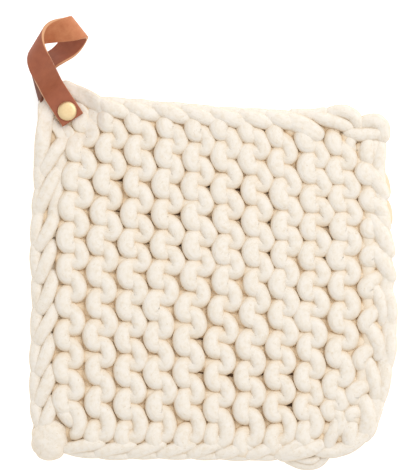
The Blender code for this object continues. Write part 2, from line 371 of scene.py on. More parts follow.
def courseTube(ridge, front):
    # One course up a ridge. row = t/2pi + bulge sin 2t and ridge + swing cos t make the
    # loops. Heights are rise cos t, so the knit course's heads and the purl course's feet
    # come out on the front.
    last = ridge == yarn["ridges"] - 1
    top = yarn["lastTop"] if last and not front else yarn["top"]
    bottom = yarn["shortBottom"] if ridge in yarn["shortRidges"] and not front else yarn["bottom"]
    if ridge == 0 and front:
        bottom = yarn["firstBottom"]
    t = np.linspace(2 * pi * top, 2 * pi * bottom, int((bottom - top) * yarn["steps"]))
    count = len(t)
    turns = t / (2 * pi)
    wave = np.cos(t)
    head = 0.5 + 0.5 * wave
    loose = rising(turns, yarn["looseRows"])
    swing = np.where(wave > 0.0, yarn["headSwing"] - yarn["looseHead"] * loose, yarn["footSwing"])
    if ridge == 0 and front:
        swing[wave < 0.0] = yarn["outerSwing"]
    if last:
        swing[wave > 0.0] = yarn["outerSwing"]
    sideways = powered(np.cos(t - yarn["headSlant"] * head), footToHead("square", head))
    across = (ridge if front else ridge + 0.5) + swing * sideways + wander(count, *yarn["unevenAcross"])
    bulge = footToHead("lastBulge" if last else "bulge", head)
    row = turns + yarn["shift"] + bulge * np.sin(2 * t)
    row = row + wander(count, *yarn["unevenRow"])
    if front:
        longer = rising(turns, yarn["lastHeadFrom"]) * falling(turns, yarn["lastHeadUntil"])
        row = row + yarn["lastHead"] * longer
    if last and not front:
        slant = yarn["lastSlant"] * rising(row, yarn["lastSlantRows"])
        across = across + slant * np.sin(t) * (1.0 - head)
    x, y = stitchPlace(across, row)
    rise = footToHead("rise", head)
    if last and front:
        rise = np.minimum(rise, yarn["lastRise"])
    rise = rise * rising(turns, yarn["sinkTop"]) * falling(turns, yarn["sinkBottom"])
    out = rise * powered(np.cos(t - footToHead("lean", head)), yarn["edge"]) * (1.0 if front else -1.0)
    z = mat["middle"] + out + wander(count, *yarn["unevenHeight"])
    swell = yarn["footSwell"] - yarn["looseFoot"] * loose
    radius = yarn["radius"] + swell * (1.0 - head) ** 2 + wander(count, *yarn["unevenRadius"])
    holes = np.column_stack(stitchPlace(*holePlaces().T))
    away = np.hypot(x[:, None] - holes[:, 0], y[:, None] - holes[:, 1]).min(axis=1)
    radius = radius * (1.0 - yarn["thinner"] * np.exp(-(away / yarn["thinnerReach"]) ** 2))
    return tube(np.column_stack([x, y, z]), radius, yarn["sides"], yarn["flat"])


def buildCourses(material):
    # a knit and a purl course to each ridge, in three meshes
    groups = {"knit_left": range(0, 4), "knit_middle": range(4, 7), "knit_right": range(7, 11)}
    made = []
    for name, ridges in groups.items():
        tubes = [courseTube(ridge, front) for ridge in ridges for front in (True, False)]
        made.append(yarnPiece(name, tubes, material, byHeight=True))
    print("knitted courses", sum(len(obj.data.polygons) for obj in made), "faces")
    return made


# a bumpy web inside the mat, seen only as the floor of the gaps: a sheet in painted shade
inside = {
    "ridges": (-0.40, 10.40),
    "rows": (0.0, 11.0),
    "grid": (204, 176),
    "half": 0.0016,  # from the middle of the mat to either face
    "bumps": 0.0009,
    "beside": 0.85,  # further under the left edge, in ridges ...
    "besideRidges": (1.0, 1.4),  # ... fading out at this ridge, over this many ...
    "besideRows": (1.5, 2.0),  # ... and down to half from this row, over this many
    # gaps that open into holes in darker painted shade: for each ridge, the stitches they lie beside
    "open": {1: (2, 3), 2: (3, 4), 3: (3, 4), 4: (2, 3, 4, 7, 8), 5: (2, 3, 8), 6: (2, 3, 4, 8),
             7: (8, 9), 8: (2, 3, 4)},
    "hole": (0.70, 0.45),  # such a hole's place from its stitch, in ridges and rows
    "pit": (0.16, 0.20),  # their size, in ridges and rows ...
    "pitDepth": 0.7,  # ... and depth, as a share of the web's
    # painted shade over the whole web, from this depth value
    "shown": 0.3,  # the colour's depth value outside them
}


def closedShell(front, back):
    # two grids of points, the second below the first, closed round the rim
    rows, columns = front.shape[:2]
    verts = np.concatenate([front.reshape(-1, 3), back.reshape(-1, 3)])
    index = np.arange(rows * columns).reshape(rows, columns)
    a, b, c, d = index[:-1, :-1], index[:-1, 1:], index[1:, 1:], index[1:, :-1]
    top = np.stack([a, d, c, b], axis=-1).reshape(-1, 4)
    under = top[:, ::-1] + rows * columns
    rim = np.concatenate([index[0, :-1], index[:-1, -1], index[-1, :0:-1], index[:0:-1, 0]])
    following = np.roll(rim, -1)
    sides = np.stack([rim, following, following + rows * columns, rim + rows * columns], axis=-1)
    return verts, np.concatenate([top, under, sides])


def buildInside(material):
    # height over the mat's middle = +-(half + bumps cos 2pi ridge cos 2pi row), less in the pits
    r, p = np.meshgrid(np.linspace(*inside["rows"], inside["grid"][0]),
                       np.linspace(*inside["ridges"], inside["grid"][1]), indexing="ij")
    reach = inside["beside"] * (1.0 - 0.5 * rising(r, inside["besideRows"]))
    reach = reach * falling(p, inside["besideRidges"])
    x, y = stitchPlace((p - reach).ravel(), r.ravel())
    x = x.reshape(p.shape)
    y = y.reshape(p.shape)
    pit = np.zeros_like(p)
    for ridge, row in holePlaces():
        away = ((p - ridge) / inside["pit"][0]) ** 2 + ((r - row) / inside["pit"][1]) ** 2
        pit = np.maximum(pit, np.exp(-away))
    swell = inside["half"] + inside["bumps"] * np.cos(2 * pi * p) * np.cos(2 * pi * r)
    swell = swell * (1.0 - inside["pitDepth"] * pit)
    front, back = (np.stack([x, y, matHeight(x, y, mat["middle"] + side * swell)], axis=-1)
                   for side in (1.0, -1.0))
    verts, quads = closedShell(front, back)
    # painted shade over the web, darkest in the pits
    shown = np.tile(inside["shown"] * (1.0 - pit.ravel()), 2)
    obj = meshObject("knit_inside", verts, [quads], material, {"fibre": verts}, {"shown": shown})
    print("inside web", len(obj.data.polygons), "faces")
    return obj


# the edges of the knitting: where the two legs of each chain link come together, in millimetres
edges = {
    "left": {
        "links": ((-89.9, 97.7), (-91.0, 81.0), (-92.3, 64.8), (-93.2, 49.1), (-94.2, 34.0),
                  (-94.8, 17.8), (-94.2, 0.5), (-94.2, -16.2), (-95.0, -32.9), (-95.0, -49.7),
                  (-94.8, -66.4), (-92.6, -80.5)),
        "opens": -1,  # along the list or against it
        "inwards": -1,  # which hand the mat is on
        "used": (1, 12),  # first link, and where they stop
        "innerFrom": 5,  # inner legs from this link on
        "reach": 1.45,  # length of a leg, in links
        "dive": 0.86,  # how much of the sine's arch an inner leg runs through
        "spread": (0.0066, 0.0016),  # inner leg, outer leg
        "widen": {5: 0.0010},  # more for the inner leg of this link
        "rise": (0.0034, 0.0012),
        "strand": (0.0040, 0.0036),
    },
    "bottom": {
        "links": ((-80.2, -90.7), (-62.9, -92.6), (-45.6, -92.9), (-29.4, -92.9), (-13.2, -92.9),
                  (2.4, -93.4), (18.6, -94.0), (33.8, -93.2), (50.5, -91.3), (66.7, -91.3)),
        "opens": 1,
        "inwards": -1,
        "used": (0, 8),
        "innerFrom": 0,
        "reach": 1.38,
        "dive": 0.74,
        "spread": (0.0047, 0.0008),
        "widen": {},
        "rise": (0.0036, 0.0012),
        "strand": (0.0037, 0.0030),
    },
    "top": {
        "links": ((-80.2, 103.1), (-62.9, 96.7), (-47.2, 94.8), (-32.1, 93.4), (-16.5, 92.6),
                  (-0.8, 90.5), (14.3, 89.9), (28.9, 89.1), (44.6, 88.0), (61.3, 89.6),
                  (74.2, 89.6)),
        "opens": 1,
        "inwards": 1,
        "used": (1, 8),
        "innerFrom": 1,
        "reach": 1.45,
        "dive": 0.86,
        "spread": (0.0037, 0.0006),
        "widen": {},
        "rise": (0.0039, 0.0016),
        "strand": (0.0043, 0.0036),
    },
}


# what the chains of the three edges share
chain = {
    "rings": 34,  # to a leg
    "ahead": 0.15,  # a leg starts this much of a link before its V's point
    "below": 0.5,  # the chain under the mat lies this much of a link further on
    "start": 0.0014,  # an inner leg starts this far below the mat's middle
    "archStart": 0.08,  # of its rise, in half turns
    "fullness": (0.7, 0.6),  # powers of the arches, inner rise and outer spread; less than 1: fuller
    "spreadBy": 1.15,  # how fast an inner leg reaches its spread
    "taper": (0.82, 0.18),  # radius at a leg's ends, and more of it in the middle
    "unevenSteps": 12,
    "unevenSpread": (0.0003, 0.0002),  # inner leg, outer leg
    "unevenHeight": 0.0002,
    "unevenRadius": 0.0001,
}


def chainTubes(side):
    # Chain links like a row of Vs. An inner leg starts low at the point of its V, spreads as
    # smoothstep t and rises as sin t; an outer leg spreads and rises as sin t. Both dive
    # under the next link.
    guide = np.array(side["links"]) * millimetre
    count = chain["rings"]
    steps = chain["unevenSteps"]
    t = np.linspace(0.0, 1.0, count)
    padded = runOn(guide[:, None, :].repeat(2, axis=1))[:, 2]
    tubes = []
    for link in range(*side["used"]):
        for inner, below in ((True, False), (True, True), (False, False)):
            if inner and link < side["innerFrom"]:
                continue
            leg = 0 if inner else 1
            along = chain["below"] * below - chain["ahead"] + side["reach"] * t
            # the clip keeps it between the padded links' second and last but one
            position = np.clip(link + side["opens"] * along + addedEntries, 1.01, len(padded) - 2.01)
            first, weights = splineWeights(position)
            place = sum(weights[a][:, None] * padded[first + a] for a in range(4))
            slope = np.gradient(place, axis=0) * side["opens"]
            slope /= np.linalg.norm(slope, axis=1)[:, None] + 1e-12
            normal = np.column_stack([slope[:, 1], -slope[:, 0]]) * side["inwards"]
            rise = side["rise"][leg]
            if inner:
                wide = side["spread"][0] + side["widen"].get(link, 0.0)
                aside = wide * smoothstep(chain["spreadBy"] * t)
                arch = np.sin(pi * (chain["archStart"] + side["dive"] * t)) ** chain["fullness"][0]
                z = -chain["start"] + (rise + chain["start"]) * arch
            else:
                aside = -side["spread"][1] * np.sin(pi * t) ** chain["fullness"][1]
                z = rise * np.sin(pi * t)
            aside = aside + wander(count, steps, chain["unevenSpread"][leg])
            z = z + wander(count, steps, chain["unevenHeight"])
            if below:
                z = -z
            thin, more = chain["taper"]
            radius = side["strand"][leg] * (thin + more * np.sin(pi * t))
            radius = radius + wander(count, steps, chain["unevenRadius"])
            line = np.column_stack([place + normal * aside[:, None], mat["middle"] + z])
            tubes.append(tube(line, radius, yarn["sides"]))
    return tubes


# single strands: radius, points with their height, in millimetres
strands = {
    "left_top": (4.3, ((-88.8, 98.3, 7.5), (-90.2, 91.3, 10.2), (-91.8, 82.6, 11),
        (-92.9, 73.4, 10.8), (-93.7, 65.3, 9.5), (-94.2, 58.3, 7))),
    "left_inner": (4.1, ((-94.2, 54.0, 7), (-91.3, 61.0, 10), (-87.2, 68.0, 11.2),
        (-82.9, 74.0, 10.8), (-79.7, 78.3, 8))),
    "left_inner_2": (4.1, ((-95.9, 35.1, 7), (-93.2, 42.1, 10), (-89.9, 49.1, 11.2),
        (-86.7, 55.6, 10.8), (-83.7, 62.1, 8))),
    "left_under": (4.2, ((-79.7, 72.9, 6), (-82.4, 65.3, 8.4), (-84.2, 54.5, 8.8),
        (-85.6, 43.7, 8.8), (-86.9, 32.9, 8.6), (-88.3, 23.2, 6))),
    "band_under": (3.8, ((-65.6, 96.7, 6), (-65.3, 92.3, 9), (-65.6, 86.9, 9.8),
        (-65.9, 81.5, 9), (-66.2, 77.2, 6))),
    "band_start": (4.6, ((-83.4, 106.4, 6), (-78.6, 103.4, 9), (-72.6, 100.7, 10.4),
        (-66.7, 97.7, 10.8), (-61.8, 94.0, 9.8), (-58.6, 90.2, 7))),
    "beside_strap": (2.6, ((-76.4, 97.7, 7), (-73.2, 94.5, 10.6), (-70.5, 91.3, 11),
        (-68.9, 87.5, 8))),
    "under_strap_left": (3.0, ((-89.4, 88.6, 6), (-86.7, 84.8, 9.5), (-84.0, 81.0, 10.8),
        (-82.4, 77.2, 9), (-81.8, 74.0, 6.5))),
    "under_strap_right": (2.8, ((-83.4, 83.7, 6), (-80.2, 82.1, 9.5), (-78.0, 79.4, 10.6),
        (-77.5, 75.6, 8))),
    "corner_outer": (3.5, ((39.7, 90.7, 7.5), (47.2, 89.6, 9), (54.8, 89.9, 9.4),
        (62.4, 91.3, 8))),
    "corner_leaf": (5.5, ((38.6, 87.5, 8), (43.5, 85.6, 10.6), (48.9, 82.9, 11.4),
        (53.7, 79.9, 11), (58.1, 77.2, 8))),
    "corner_second": (3.9, ((52.1, 89.4, 8.5), (58.1, 87.6, 10.7), (64.5, 85.9, 11.2),
        (69.9, 84.0, 10.8), (74.8, 82.1, 8))),
    "corner_bump": (3.9, ((59.7, 88.6, 7.5), (64.0, 91.0, 9.5), (69.4, 91.5, 10.6),
        (74.2, 89.6, 10.8), (77.0, 86.1, 10.4), (78.6, 81.5, 8.2))),
    "corner_loop": (4.3, ((76.4, 83.2, 7), (81.8, 85.7, 9.5), (86.7, 86.1, 10.6),
        (90.2, 84.0, 10.6), (91.0, 79.9, 10), (89.9, 74.5, 8))),
    "corner_lower": (3.8, ((93.2, 83.2, 8), (88.3, 79.9, 10.4), (81.8, 79.1, 10.8),
        (75.9, 79.1, 10.6), (69.4, 81.0, 8.2))),
    "corner_stitch": (4.3, ((84.0, 77.2, 8), (82.4, 72.4, 10.4), (82.1, 67.5, 10.6),
        (84.0, 61.6, 8))),
    "corner_small": (3.4, ((77.0, 78.3, 7.5), (73.7, 75.9, 10), (73.2, 72.9, 10.2),
        (75.9, 69.7, 7.5))),
    "right_core": (4.7, ((85.1, 77.2, 8.5), (87.8, 66.4, 9.2), (88.8, 49.1, 9.2),
        (89.4, 35.6, 9.2), (91.8, 20.0, 9.2), (91.5, 10.3, 9), (92.9, 2.2, 8.8), (92.1, -5.9, 8.4),
        (94.0, -18.4, 8.2), (93.7, -30.2, 8.2), (92.3, -41.6, 8.2), (89.6, -54.5, 8.2),
        (85.6, -68.6, 8.4), (81.8, -80.5, 8.8), (75.3, -86.9, 9.2), (68.3, -90.7, 9.2),
        (58.1, -92.1, 8.5))),
    "right_first": (3.6, ((89.9, 76.7, 8), (89.4, 70.7, 10), (88.8, 65.3, 10.6),
        (87.2, 59.9, 9.8), (84.0, 54.5, 7.5))),
    "right_leaf_1": (4.5, ((78.6, 64.3, 8), (82.9, 59.4, 10.6), (86.9, 54.5, 11),
        (89.9, 49.1, 10.2), (92.1, 43.2, 8))),
    "right_leaf_2": (4.5, ((80.2, 45.9, 8), (84.5, 42.9, 10.4), (88.3, 40.2, 10.8),
        (90.5, 36.2, 9.8), (92.1, 30.2, 8))),
    "right_leaf_3": (4.0, ((86.1, 40.5, 7.5), (90.5, 33.5, 10), (92.6, 25.9, 8))),
    "right_leaf_4": (4.6, ((82.4, 37.8, 7.5), (86.7, 31.3, 10.4), (90.5, 24.3, 11),
        (92.9, 18.4, 10.2), (94.8, 11.9, 8))),
    "right_leaf_5": (4.6, ((81.3, 21.6, 7.5), (86.7, 15.7, 10.4), (90.5, 10.0, 10.9),
        (93.4, 4.9, 10.2), (95.3, -1.6, 8))),
    "right_leaf_6": (3.7, ((81.8, 1.6, 7.5), (85.6, -2.7, 10), (88.6, -8.1, 11),
        (90.2, -14.6, 11), (90.7, -20.0, 9.8), (90.5, -24.8, 8))),
    "right_outer_6": (3.7, ((91.0, 0.5, 8), (93.4, -7.0, 9.8), (95.0, -13.5, 10.4),
        (95.3, -18.9, 10), (94.2, -25.9, 8))),
    "right_leaf_7": (4.5, ((80.7, -22.1, 8), (84.5, -26.5, 10.6), (87.5, -31.9, 11),
        (88.8, -37.8, 10), (88.8, -43.7, 8))),
    "right_outer_7": (3.7, ((93.7, -21.1, 8), (94.8, -29.2, 9.8), (94.8, -36.2, 10),
        (94.0, -42.7, 9.2), (92.1, -49.1, 8))),
    "right_leaf_8": (4.3, ((81.3, -40.5, 8), (84.0, -47.0, 10.6), (86.1, -53.5, 11),
        (86.9, -59.4, 10), (86.7, -65.3, 8))),
    "right_outer_8": (3.7, ((93.2, -39.4, 8), (92.3, -48.1, 9.8), (91.5, -55.6, 10),
        (89.9, -62.1, 9.4), (87.2, -68.6, 8))),
    "right_leaf_9": (5.1, ((78.0, -61.0, 8), (81.3, -66.4, 10), (82.9, -72.9, 10.3),
        (81.8, -78.8, 9.4), (78.6, -84.2, 7.5))),
    "right_outer_9": (3.9, ((89.9, -58.9, 8), (87.8, -67.5, 9.4), (85.3, -75.1, 9.6),
        (83.4, -81.0, 9.2), (79.1, -86.4, 8))),
    "last_stitch": (4.9, ((74.8, -74.0, 8), (73.2, -79.4, 10.2), (72.9, -84.8, 10.3),
        (74.2, -90.7, 8))),
    "stitch_beside": (4.1, ((69.4, -70.2, 8), (66.7, -75.6, 10.4), (64.0, -81.5, 10.6),
        (62.1, -86.4, 10), (61.3, -91.8, 7.5))),
    "lower_turn": (3.7, ((84.0, -77.2, 8), (81.3, -82.6, 9.8), (76.7, -86.9, 10.2),
        (71.6, -89.9, 10), (66.2, -91.8, 9.6), (59.7, -92.2, 9), (53.2, -92.1, 7))),
    "loop_leaf": (4.7, ((33.2, -94.5, 7.5), (41.3, -92.6, 9.8), (50.5, -90.5, 10.2),
        (60.2, -87.5, 8.5))),
    "loose_loop": (2.8, ((35.4, -92.9, 8), (40.2, -96.7, 6.5), (46.2, -99.3, 5.2),
        (52.7, -99.9, 4.8), (57.8, -97.6, 5.6), (61.3, -92.9, 7.5))),
    "loose_lens": (2.3, ((42.4, -94.5, 7.5), (47.2, -96.4, 7.8), (52.7, -96.9, 7.6),
        (57.0, -95.0, 7.4))),
    "beside_knot": (4.1, ((-84.2, -66.4, 7.5), (-81.6, -70.7, 10.2), (-78.3, -74.6, 10.4),
        (-74.8, -77.8, 8))),
}
frontOnly = ("beside_strap", "under_strap_left", "under_strap_right", "loose_loop", "loose_lens")
ringsPerPoint = 14  # of a strand
strandTaper = (0.80, 0.20)  # its radius at the ends, and more of it in the middle

# the fat knot at the lower left corner, in millimetres
knot = {
    "place": (-89.1, -85.6, 8.3),
    "radii": (10.3, 11.6, 8.2),
    "sides": 48,
    "rings": 28,
    "grooves": 0.09,  # depth of the twist, as a share of the radius
    "twist": (2.0, 4.2),  # how it winds: grooves around, and their slant
    "plump": 0.9,  # less than 1: fuller than an ellipsoid
    # painted shade: the lower depth value at the ball's sides darkens them
    "shown": (0.6, 0.24),  # the colour's depth value at the sides, and more of it on top
}


def strandTubes():
    # every strand as a smooth tube, and most of them once more upside down for the other face;
    # its radius is thin + more sin(pi t)^fullness
    thin, more = strandTaper
    tubes = []
    for name, (radius, points) in strands.items():
        path = smoothPath(points, ringsPerPoint * len(points)) * millimetre
        arch = np.sin(pi * np.linspace(0.0, 1.0, len(path))) ** chain["fullness"][0]
        wide = radius * millimetre * (thin + more * arch)
        wide = wide + wander(len(path), chain["unevenSteps"], chain["unevenRadius"])
        tubes.append(tube(path, wide, yarn["sides"]))
        if name not in frontOnly:
            under = path * (1.0, 1.0, -1.0) + (0.0, 0.0, mat["thick"])
            tubes.append(tube(under, wide, yarn["sides"]))
    return tubes


def knotBall():
    # an oval body with soft grooves that wind round it like the wrapped yarn:
    # swell = 1 + grooves (|sin(2u + 4.2v)| - 1) sin v
    v, u = np.meshgrid(np.linspace(0.0, pi, knot["rings"]),
                       np.linspace(0.0, 2 * pi, knot["sides"], endpoint=False), indexing="ij")
    ways, slant = knot["twist"]
    swell = 1.0 + knot["grooves"] * (np.abs(np.sin(ways * u + slant * v)) - 1.0) * np.sin(v)
    around, high = powered(np.sin(v), knot["plump"]), powered(np.cos(v), knot["plump"])
    unit = np.stack([around * np.cos(u), high, around * np.sin(u)], axis=-1)
    body = unit * swell[..., None] * knot["radii"] + knot["place"]
    verts = np.vstack([body[1:-1].reshape(-1, 3), body[0, 0], body[-1, 0]]) * millimetre
    quads, tips = ringFaces(knot["rings"] - 2, knot["sides"])
    # painted shade on the ball's sides, less of it on top
    sideShown, topShown = knot["shown"]
    shown = sideShown + topShown * np.abs(verts[:, 2] / mat["middle"] - 1.0)
    return verts, quads, tips, verts.copy(), shown


def buildEdges(material):
    tubes = [part for side in edges.values() for part in chainTubes(side)]
    sides = yarnPiece("knit_edges", tubes, material)
    loose = yarnPiece("knit_corners", strandTubes() + [knotBall()], material)
    print("edges", len(sides.data.polygons), "faces, corners", len(loose.data.polygons))
    return [sides, loose]


# the leather strap: one straight strip, wrapped round the bends of a table
strap = {
    "width": 0.0134,
    "thick": 0.0018,
    "length": 0.1666,
    "end": 0.0056,  # from the rivet's middle to the square-cut end
    "low": 0.0106,  # underside of the front leg at the rivet
    "backLow": 0.0018,
    "steps": 280,  # rings from end to end
    "lanes": 17,  # points across each face
    "rimPoints": 9,  # points round each cut edge
    "round": 0.0004,  # rounding of the cut edges
    "slopeStep": 1e-5,  # for the slopes of the surface
    # start, slant, radius, turn of every bend from the front end to the back end
    "bends": ((0.0110, 97.9, 0.0120, -63.8), (0.0417, 129.1, 0.0058, 230.7),
              (0.0774, 62.9, 0.0046, -151.4), (0.0987, 123.1, 0.0081, -82.8),
              (0.1159, 97.3, 0.0120, 63.4), (0.1362, 46.4, 0.0043, 122.9)),
}


def bendStrip(along, across):
    # flat up to each bend's line, wrapped on a cylinder inside it, carried round whole past it
    point = np.stack([along, across, np.zeros_like(along)], axis=-1)
    for start, slant, radius, turn in reversed(strap["bends"]):
        line = np.array([cos(radians(slant)), sin(radians(slant)), 0.0])
        ahead = np.array([line[1], -line[0], 0.0])
        side = 1.0 if turn > 0.0 else -1.0
        centre = np.array([start, 0.0, -side * radius])
        past = (along - start) * ahead[0] + across * ahead[1]
        wrapped = np.clip(past, 0.0, radius * abs(radians(turn)))
        angle = side * wrapped / radius
        arm = point - wrapped[..., None] * ahead - centre
        lift = arm[..., 2]
        reach = arm @ ahead
        point = (centre + (arm @ line)[..., None] * line
                 + (reach * np.cos(angle) + lift * np.sin(angle))[..., None] * ahead
                 + (lift * np.cos(angle) - reach * np.sin(angle))[..., None] * (0.0, 0.0, 1.0))
    return point


def placeStrip(along, across):
    # the bent strip with its front end on the rivet, turned to the front leg's heading
    heading = mat["frontHeading"]
    local = bendStrip(along, across) - (strap["end"], 0.0, 0.0)
    x = mat["rivet"][0] + local[..., 0] * cos(heading) - local[..., 1] * sin(heading)
    y = mat["rivet"][1] + local[..., 0] * sin(heading) + local[..., 1] * cos(heading)
    z = strap["low"] + strap["thick"] / 2 + local[..., 2]
    return np.stack([x, y, z], axis=-1)


def strapSurface(along, across):
    # the middle of the leather; the small miss of the back end is shared out along the second half
    backEnd = placeStrip(np.array(strap["length"] - strap["end"]), np.array(0.0))
    seat = np.array([*mat["rivet"], strap["backLow"] + strap["thick"] / 2])
    share = smoothstep(2.0 * along / strap["length"] - 1.0)
    return placeStrip(along, across) + share[..., None] * (seat - backEnd)


def buildStrap(material):
    # A rounded oblong section carried along the bent strip, grain side up, cut square at both
    # ends: middle + normal * height, the normal from the surface's slopes along and across.
    # It has no holes: the rivet's post runs through the leather, under the caps.
    half = strap["width"] / 2
    deep = strap["thick"] / 2
    r = strap["round"]
    lanes = np.linspace(-1.0, 1.0, strap["lanes"]) * (half - r)
    rim = np.linspace(0.0, pi, strap["rimPoints"])[1:-1]
    top = np.column_stack([lanes[::-1], np.full(len(lanes), deep)])
    left = np.column_stack([-(half - r) - r * np.sin(rim), deep * np.cos(rim)])
    bottom = np.column_stack([lanes, np.full(len(lanes), -deep)])
    right = np.column_stack([(half - r) + r * np.sin(rim), -deep * np.cos(rim)])
    ring = np.vstack([top, left, bottom, right])
    count = len(ring)
    steps = strap["steps"]
    along = np.linspace(0.0, strap["length"], steps)
    s, w = np.meshgrid(along, ring[:, 0], indexing="ij")
    height = np.broadcast_to(ring[:, 1], s.shape)
    small = strap["slopeStep"]
    du = strapSurface(s + small, w) - strapSurface(s - small, w)
    dw = strapSurface(s, w + small) - strapSurface(s, w - small)
    normal = np.cross(du, dw)
    normal /= np.linalg.norm(normal, axis=-1)[..., None]
    verts = (strapSurface(s, w) + normal * height[..., None]).reshape(-1, 3)
    verts = np.vstack([verts, verts[:count].mean(axis=0), verts[-count:].mean(axis=0)])
    quads, ends = ringFaces(steps, count)
    # for the leather: place on the flat strip, -1 suede to 1 grain, 0 middle line to 1 cut edge
    flat = np.stack([s, w, height], axis=-1).reshape(-1, 3)
    flat = np.vstack([flat, (0.0, 0.0, 0.0), (strap["length"], 0.0, 0.0)])
    grain = flat[:, 2] / deep
    cut = np.abs(flat[:, 1]) / half
    obj = meshObject("leather_strap", verts, [quads, ends], material,
                     {"flat": flat}, {"grain": grain, "cut": cut})
    print("strap", len(obj.data.polygons), "faces")
    return obj


# the brass rivet: a front cap with its post and a back cap
rivet = {
    "radius": 0.0052,
    "around": 96,
    # sections from the axis outwards and down: share of the radius, height
    "front": ((0.00, 0.01450), (0.30, 0.01449), (0.55, 0.01446), (0.72, 0.01438), (0.84, 0.01420),
              (0.93, 0.01386), (0.98, 0.01342), (1.00, 0.01300), (0.99, 0.01272), (0.90, 0.01270),
              (0.33, 0.01270), (0.32, 0.00200), (0.30, 0.00180), (0.00, 0.00180)),
    "back": ((0.00, 0.00150), (0.90, 0.00150), (0.98, 0.00140), (1.00, 0.00115), (1.00, 0.00085),
             (0.92, 0.00060), (0.77, 0.00035), (0.60, 0.00030), (0.00, 0.00030)),
}


def turned(name, section, material):
    # the section turned about the rivet's axis: radius (cos a, sin a)
    section = np.array(section)
    around = rivet["around"]
    angle = np.linspace(0.0, 2.0 * pi, around, endpoint=False)
    inner = section[1:-1]
    x = mat["rivet"][0] + rivet["radius"] * inner[:, :1] * np.cos(angle)
    y = mat["rivet"][1] + rivet["radius"] * inner[:, :1] * np.sin(angle)
    z = np.broadcast_to(inner[:, 1:], x.shape)
    verts = np.stack([x, y, z], axis=-1).reshape(-1, 3)
    verts = np.vstack([verts, [*mat["rivet"], section[0, 1]], [*mat["rivet"], section[-1, 1]]])
    quads, tips = ringFaces(len(inner), around)
    # the rings run downwards here, so the faces are turned round to face outwards
    obj = meshObject(name, verts, [quads[:, (0, 3, 2, 1)], tips[:, (1, 0, 2)]], material)
    print(name, len(obj.data.polygons), "faces")
    return obj


def nodeMaterial(name):
    material = bpy.data.materials.new(name)
    material.use_nodes = True
    tree = material.node_tree
    return material, tree, tree.nodes["Principled BSDF"]


def meshValue(tree, name):
    # a value or a vector that the mesh carries for its material
    node = tree.nodes.new("ShaderNodeAttribute")
    node.attribute_name = name
    return node.outputs


def ramp(tree, source, stops):
    node = tree.nodes.new("ShaderNodeValToRGB")
    elements = node.color_ramp.elements
    while len(elements) < len(stops):
        elements.new(0.5)
    for element, (position, colour) in zip(elements, stops):
        element.position = position
        element.color = (*colour, 1.0)
    tree.links.new(source, node.inputs["Fac"])
    return node.outputs["Color"]


def shareRamp(tree, source, stops):
    # a ramp of shares from 0 to 1 instead of colours
    return ramp(tree, source, [(position, (share,) * 3) for position, share in stops])


def noise(tree, vector, scale, detail, rough):
    node = tree.nodes.new("ShaderNodeTexNoise")
    node.inputs["Scale"].default_value = scale
    node.inputs["Detail"].default_value = detail
    node.inputs["Roughness"].default_value = rough
    tree.links.new(vector, node.inputs["Vector"])
    return node.outputs["Fac"]


def mixColour(tree, factor, first, second):
    # from the first colour to the second as the factor goes from 0 to 1
    node = tree.nodes.new("ShaderNodeMix")
    node.data_type = 'RGBA'
    colours = {socket.name: socket for socket in node.inputs if socket.type == 'RGBA'}
    tree.links.new(factor, node.inputs["Factor"])
    for socket, value in ((colours["A"], first), (colours["B"], second)):
        if isinstance(value, bpy.types.NodeSocket):
            tree.links.new(value, socket)
        else:
            socket.default_value = (*value, 1.0)
    return [socket for socket in node.outputs if socket.type == 'RGBA'][0]


def bump(tree, height, distance, strength):
    node = tree.nodes.new("ShaderNodeBump")
    node.inputs["Distance"].default_value = distance
    node.inputs["Strength"].default_value = strength
    tree.links.new(height, node.inputs["Height"])
    return node.outputs["Normal"]


cottonLook = {
    "tufts": ((0.28, (0.735, 0.65, 0.535)), (0.50, (0.785, 0.72, 0.63)), (0.72, (0.805, 0.75, 0.68))),
    "tuftNoise": (420.0, 3.0, 0.6),  # scale, detail, roughness
    "tuftBump": (0.0006, 0.6),  # distance, strength
    "fibreNoise": (1100.0, 4.0, 0.6),
    "fibreStretch": (1.0, 1.0, 0.22),  # the last one along the yarn
    "fibreBump": (0.0003, 0.7),
    "fleck": (0.66, 0.55, 0.42),
    "fleckNoise": (700.0, 3.0, 0.7),
    "fleckShare": ((0.0, 1.0), (0.28, 0.8), (0.38, 0.0)),
    # painted shade, by the depth value: its share, and its darker tone, darkest in the holes
    "paintedShadeShare": ((0.38, 1.0), (0.61, 0.50), (0.86, 0.0)),
    "deep": ((0.06, (0.13, 0.075, 0.04)), (0.26, (0.77, 0.62, 0.44))),
    "rough": 0.95,
    "shine": 0.1,
}


def cottonMaterial():
    # soft unspun cotton: fine fibres along the yarn, faint darker flecks, and painted shade
    # between the bumps, a deeper tone where less light reaches the fibres
    look = cottonLook
    material, tree, shader = nodeMaterial("cotton_yarn")
    fibre = meshValue(tree, "fibre")["Vector"]
    shown = meshValue(tree, "shown")["Fac"]
    stretch = tree.nodes.new("ShaderNodeMapping")
    stretch.inputs["Scale"].default_value = look["fibreStretch"]
    tree.links.new(fibre, stretch.inputs["Vector"])
    fibres = noise(tree, stretch.outputs["Vector"], *look["fibreNoise"])
    tufts = noise(tree, fibre, *look["tuftNoise"])
    flecks = noise(tree, fibre, *look["fleckNoise"])
    colour = ramp(tree, tufts, look["tufts"])
    colour = mixColour(tree, shareRamp(tree, flecks, look["fleckShare"]), colour, look["fleck"])
    # painted shade: the lower the depth value, the more of the darker tone
    paintedShadeShare = shareRamp(tree, shown, look["paintedShadeShare"])
    colour = mixColour(tree, paintedShadeShare, colour, ramp(tree, shown, look["deep"]))
    tree.links.new(colour, shader.inputs["Base Color"])
    shader.inputs["Roughness"].default_value = look["rough"]
    shader.inputs["Specular IOR Level"].default_value = look["shine"]
    coarse = bump(tree, tufts, *look["tuftBump"])
    fine = bump(tree, fibres, *look["fibreBump"])
    tree.links.new(coarse, fine.node.inputs["Normal"])
    tree.links.new(fine, shader.inputs["Normal"])
    return material


